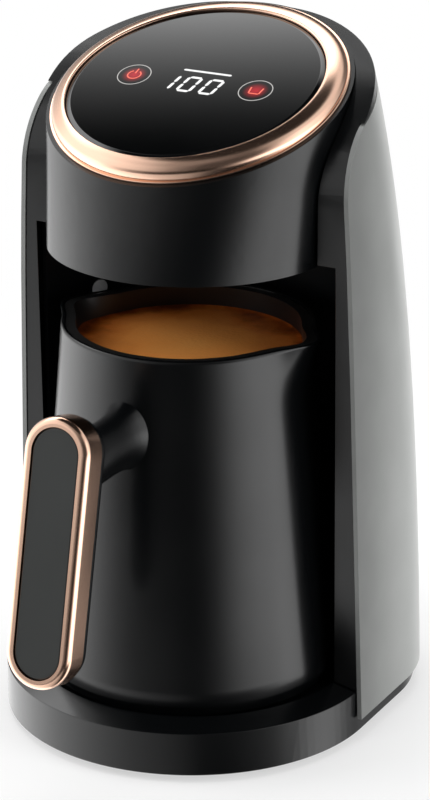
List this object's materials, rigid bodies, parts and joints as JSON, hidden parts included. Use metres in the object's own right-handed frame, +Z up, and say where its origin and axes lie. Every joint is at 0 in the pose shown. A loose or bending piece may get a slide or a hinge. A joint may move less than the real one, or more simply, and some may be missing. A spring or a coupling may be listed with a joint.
{
  "type": "electric turkish coffee maker",
  "caption": "Countertop electric coffee maker with a D-shaped tower, tilted round touch panel in a rose gold ring, and a two-spouted heated jug with a loop-free bar handle.",
  "frame": {"origin": "on the jug's upright axis, at the level of the feet's undersides", "axes": "+Z up, +Y to the rear, +X to the right as seen by a user facing the machine"},
  "size_m": [0.1464, 0.2058, 0.2587],
  "materials": {
    "black_plastic": "satin black injection-moulded plastic",
    "base_plastic": "satin black base plastic",
    "silver_plastic": "silver-grey satin painted skin",
    "liner_plastic": "dark matt bay lining",
    "hidden_plastic": "plain moulded plastic",
    "rose_gold": "rose gold plated finish",
    "black_glass": "black-backed touch glass",
    "steel": "brushed stainless steel",
    "aluminium": "cast aluminium",
    "brass": "plated contact",
    "rubber": "black rubber",
    "clear_seal": "silicone seal",
    "circuit_board": "green circuit board",
    "component_black": "moulded component body",
    "component_blue": "component body",
    "component_yellow": "component body",
    "display_face": "lit digit module",
    "light_guide": "diffusing light guide",
    "lead_sleeve": "lead sleeving",
    "pad_plastic": "satin black handle inlay"
  },
  "bodies": {
    "housing": {"base_tray": "base_plastic", "bottom_cover": "hidden_plastic", "rubber_feet": "rubber", "bottom_screws": "steel", "cord_gland": "rubber", "front_frame": "black_plastic", "rear_shell": "black_plastic", "right_side_panel": "silver_plastic", "left_side_panel": "silver_plastic", "bay_liner": "liner_plastic", "sensor_window": "light_guide", "overflow_sensor": "component_black", "bay_ceiling": "liner_plastic", "head_shell": "black_plastic", "trim_ring": "rose_gold", "touch_glass": "black_glass", "glass_gasket": "rubber", "board_carrier": "hidden_plastic", "touch_board": "circuit_board", "left_light_guide": "light_guide", "right_light_guide": "light_guide", "button_lamps": "display_face", "touch_contacts": "steel", "number_display": "display_face", "buzzer": "component_black", "board_socket": "light_guide", "connector_boss": "hidden_plastic", "centre_contact": "brass", "ring_contact": "brass", "power_board": "circuit_board", "heater_relay": "component_blue", "supply_transformer": "component_yellow", "smoothing_capacitor": "component_black", "mains_capacitor": "component_yellow", "mains_terminals": "component_black", "board_screws": "steel", "display_lead": "lead_sleeve", "heater_lead": "lead_sleeve"},
    "plug": {"jug_plug": "component_black"},
    "jug": {"jug_shell": "black_plastic", "inner_pot": "steel", "heating_plate": "aluminium", "heating_element": "steel", "thermal_cutouts": "component_black", "temperature_probe": "steel", "probe_seal": "clear_seal", "jug_bottom_cup": "black_plastic", "jug_screws": "steel", "handle_trim": "rose_gold", "handle_pad": "pad_plastic", "handle_grip": "black_plastic", "handle_screws": "steel", "handle_neck": "black_plastic"}
  },
  "joints": [
    {"name": "jug_lift", "type": "slide", "parent": "housing", "child": "plug", "axis": [0, 0, 1], "range_m": [0, 0.022]},
    {"name": "jug_swivel", "type": "hinge", "parent": "plug", "child": "jug", "pos_m": [0, 0, 0], "axis": [0, 0, 1], "range_deg": [-60, 60]}
  ]
}
